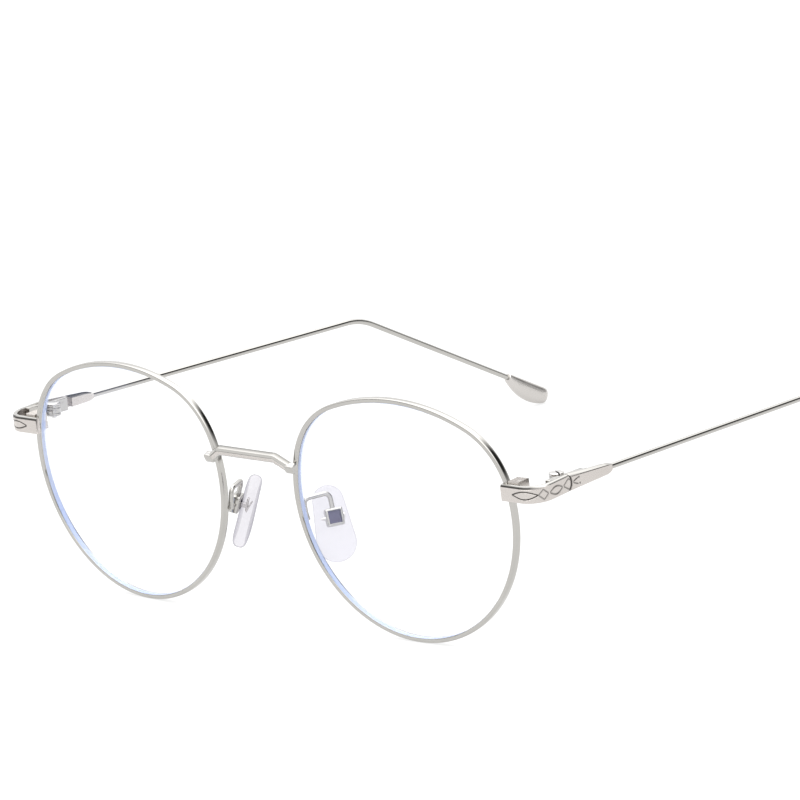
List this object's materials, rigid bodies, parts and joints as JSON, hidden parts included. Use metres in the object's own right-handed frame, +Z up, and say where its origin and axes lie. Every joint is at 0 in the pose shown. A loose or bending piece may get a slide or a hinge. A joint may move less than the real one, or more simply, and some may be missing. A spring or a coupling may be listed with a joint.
{
  "type": "round wire eyeglasses",
  "caption": "Round wire eyeglasses with a cranked bridge, folding wire temples ending in paddle tips, and rocking nose pads on gooseneck arms.",
  "frame": {"origin": "under the middle of the open spectacles, at the level of the rims' bottoms and the temple tips", "axes": "+X towards the wearer's left, +Y back along the temples, +Z up; the front faces -Y"},
  "size_m": [0.1386, 0.1468, 0.0471],
  "materials": {
    "polished_metal": "bright silver plating",
    "satin_metal": "satin silver plating with polished edges",
    "screws": "bright turned steel",
    "lens": "clear, anti-reflection coated",
    "pad_silicone": "clear soft silicone"
  },
  "bodies": {
    "front": {"bridge": "satin_metal", "rim_left": "polished_metal", "rim_right": "polished_metal", "lens_left": "lens", "lens_right": "lens", "endpiece_left": "satin_metal", "endpiece_right": "satin_metal", "closing_block_upper_left": "satin_metal", "closing_block_upper_right": "satin_metal", "closing_block_lower_left": "satin_metal", "closing_block_lower_right": "satin_metal", "rim_screw_left": "screws", "rim_screw_right": "screws", "hinge_front_left": "polished_metal", "hinge_front_right": "polished_metal", "hinge_screw_left": "screws", "hinge_screw_right": "screws", "pad_arm_left": "polished_metal", "pad_arm_right": "polished_metal", "pad_box_left": "polished_metal", "pad_box_right": "polished_metal", "pad_screw_left": "screws", "pad_screw_right": "screws"},
    "temple_left": {"hinge_rear_left": "polished_metal", "temple_bar_left": "satin_metal", "temple_wire_left": "polished_metal", "temple_tip_left": "satin_metal"},
    "temple_right": {"hinge_rear_right": "polished_metal", "temple_bar_right": "satin_metal", "temple_wire_right": "polished_metal", "temple_tip_right": "satin_metal"},
    "pad_left": {"nose_pad_left": "pad_silicone", "pad_insert_left": "screws"},
    "pad_right": {"nose_pad_right": "pad_silicone", "pad_insert_right": "screws"}
  },
  "joints": [
    {"name": "temple_left_fold", "type": "hinge", "parent": "front", "child": "temple_left", "pos_m": [0.0656, -0.05919, 0.032], "axis": [-0.0031, 0.0366, 0.9993], "range_deg": [0, 88]},
    {"name": "temple_right_fold", "type": "hinge", "parent": "front", "child": "temple_right", "pos_m": [-0.0656, -0.05919, 0.032], "axis": [-0.0031, -0.0366, -0.9993], "range_deg": [0, 85]},
    {"name": "nose_pad_left_rock", "type": "hinge", "parent": "front", "child": "pad_left", "pos_m": [0.0128, -0.06425, 0.02053], "axis": [0.5266, 0.8498, 0.0252], "range_deg": [-6, 6]},
    {"name": "nose_pad_right_rock", "type": "hinge", "parent": "front", "child": "pad_right", "pos_m": [-0.0128, -0.06425, 0.02053], "axis": [-0.5266, 0.8498, 0.0252], "range_deg": [-6, 6]}
  ]
}
